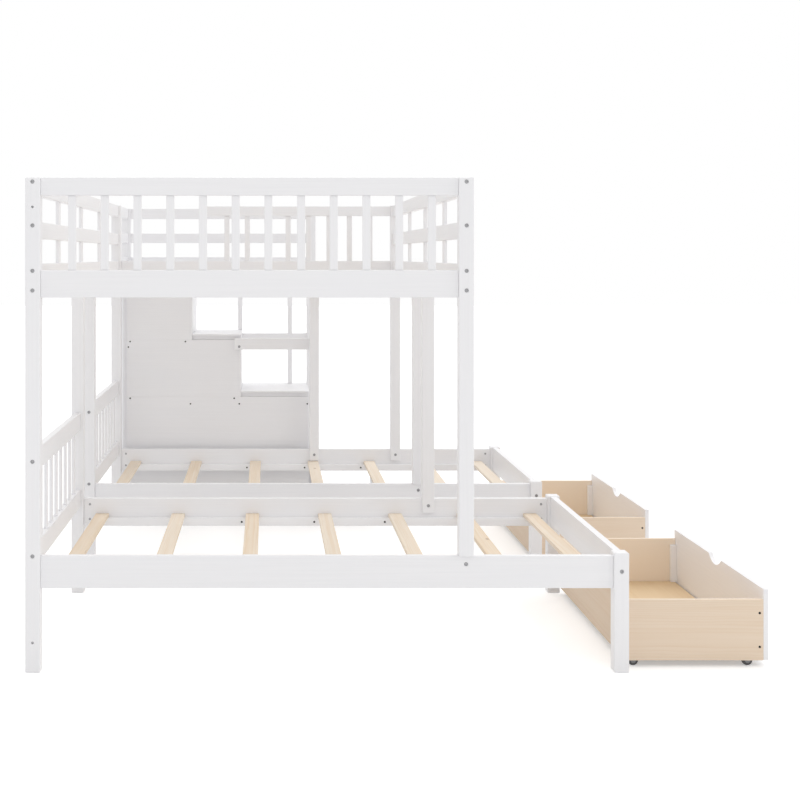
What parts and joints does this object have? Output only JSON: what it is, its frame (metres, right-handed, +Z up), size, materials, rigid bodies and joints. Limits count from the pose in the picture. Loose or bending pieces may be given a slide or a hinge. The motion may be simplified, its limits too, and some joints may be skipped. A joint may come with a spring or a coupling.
{
  "type": "triple bunk bed",
  "caption": "White wooden triple bunk bed: low single beds side by side under a wide upper bed, with slatted guards, a storage stair behind and rolling drawers at the foot.",
  "frame": {"origin": "floor level, under the middle of the whole bed with its drawers drawn out", "axes": "+Z up, +X from the headboards to the foot ends where the drawers come out, +Y from the front bed to the stair behind"},
  "size_m": [2.514, 2.885, 1.66],
  "materials": {
    "white_wood": "white satin paint on pine",
    "slat_pine": "bare planed pine, pale yellow",
    "drawer_pine": "bare pine board, warm tan",
    "bolt_steel": "zinc-plated steel",
    "screw_steel": "blackened steel",
    "caster_steel": "pressed steel, dull grey plating",
    "caster_rubber": "black moulded rubber"
  },
  "bodies": {
    "frame": {"barrel_nuts": "bolt_steel", "bed_slat_cleats": "white_wood", "deck_front_rail": "white_wood", "deck_left_rail": "white_wood", "deck_rear_rail": "white_wood", "deck_right_rail": "white_wood", "deck_slats": "slat_pine", "deck_supports": "white_wood", "far_bed_foot_posts": "white_wood", "far_bed_front_rail": "white_wood", "far_bed_headboard_rails": "white_wood", "far_bed_headboard_slats": "white_wood", "far_bed_rear_rail": "white_wood", "far_bed_slats": "slat_pine", "far_mid_left_post": "white_wood", "far_mid_right_upper_post": "white_wood", "foot_panels": "white_wood", "frame_bolts": "bolt_steel", "frame_screws": "screw_steel", "front_guard_slats": "white_wood", "front_guard_top_rail": "white_wood", "front_left_post": "white_wood", "front_right_upper_post": "white_wood", "left_guard_rails": "white_wood", "near_bed_foot_posts": "white_wood", "near_bed_front_rail": "white_wood", "near_bed_headboard_rails": "white_wood", "near_bed_headboard_slats": "white_wood", "near_bed_rear_rail": "white_wood", "near_bed_slats": "slat_pine", "near_mid_left_post": "white_wood", "near_mid_right_upper_post": "white_wood", "rear_guard_slats": "white_wood", "rear_guard_top_rail": "white_wood", "rear_left_post": "white_wood", "rear_right_upper_post": "white_wood", "right_guard_rails": "white_wood", "side_guard_uprights": "white_wood", "stair_balusters": "white_wood", "stair_bed_side_panels": "white_wood", "stair_outer_posts": "white_wood", "stair_rails": "white_wood", "stair_shelves": "white_wood", "stair_support_post": "white_wood", "stair_treads": "white_wood", "stair_walls": "white_wood"},
    "near_drawer": {"near_bed_drawer_base": "drawer_pine", "near_bed_drawer_box": "drawer_pine", "near_bed_drawer_casters": "caster_steel", "near_bed_drawer_front": "white_wood", "near_bed_drawer_screws": "screw_steel"},
    "near_drawer_rear_wheels": {"near_bed_drawer_rear_wheels": "caster_rubber"},
    "near_drawer_front_wheels": {"near_bed_drawer_front_wheels": "caster_rubber"},
    "far_drawer": {"far_bed_drawer_base": "drawer_pine", "far_bed_drawer_box": "drawer_pine", "far_bed_drawer_casters": "caster_steel", "far_bed_drawer_front": "white_wood", "far_bed_drawer_screws": "screw_steel"},
    "far_drawer_rear_wheels": {"far_bed_drawer_rear_wheels": "caster_rubber"},
    "far_drawer_front_wheels": {"far_bed_drawer_front_wheels": "caster_rubber"}
  },
  "joints": [
    {"name": "near_drawer_slide", "type": "slide", "parent": "frame", "child": "near_drawer", "axis": [1, 0, 0], "range_m": [-0.489, 0.15]},
    {"name": "near_drawer_rear_wheels_roll", "type": "hinge", "parent": "near_drawer", "child": "near_drawer_rear_wheels", "pos_m": [0.803, -0.91, 0.0175], "axis": [0, 1, 0], "continuous": true},
    {"name": "near_drawer_front_wheels_roll", "type": "hinge", "parent": "near_drawer", "child": "near_drawer_front_wheels", "pos_m": [1.193, -0.91, 0.0175], "axis": [0, 1, 0], "continuous": true},
    {"name": "far_drawer_slide", "type": "slide", "parent": "frame", "child": "far_drawer", "axis": [1, 0, 0], "range_m": [-0.489, 0.15]},
    {"name": "far_drawer_rear_wheels_roll", "type": "hinge", "parent": "far_drawer", "child": "far_drawer_rear_wheels", "pos_m": [0.803, 0.445, 0.0175], "axis": [0, 1, 0], "continuous": true},
    {"name": "far_drawer_front_wheels_roll", "type": "hinge", "parent": "far_drawer", "child": "far_drawer_front_wheels", "pos_m": [1.193, 0.445, 0.0175], "axis": [0, 1, 0], "continuous": true}
  ],
  "couplings": [
    {"joint": "near_drawer_rear_wheels_roll", "follows": "near_drawer_slide", "rad_per_m": 57.143},
    {"joint": "near_drawer_front_wheels_roll", "follows": "near_drawer_slide", "rad_per_m": 57.143},
    {"joint": "far_drawer_rear_wheels_roll", "follows": "far_drawer_slide", "rad_per_m": 57.143},
    {"joint": "far_drawer_front_wheels_roll", "follows": "far_drawer_slide", "rad_per_m": 57.143}
  ]
}
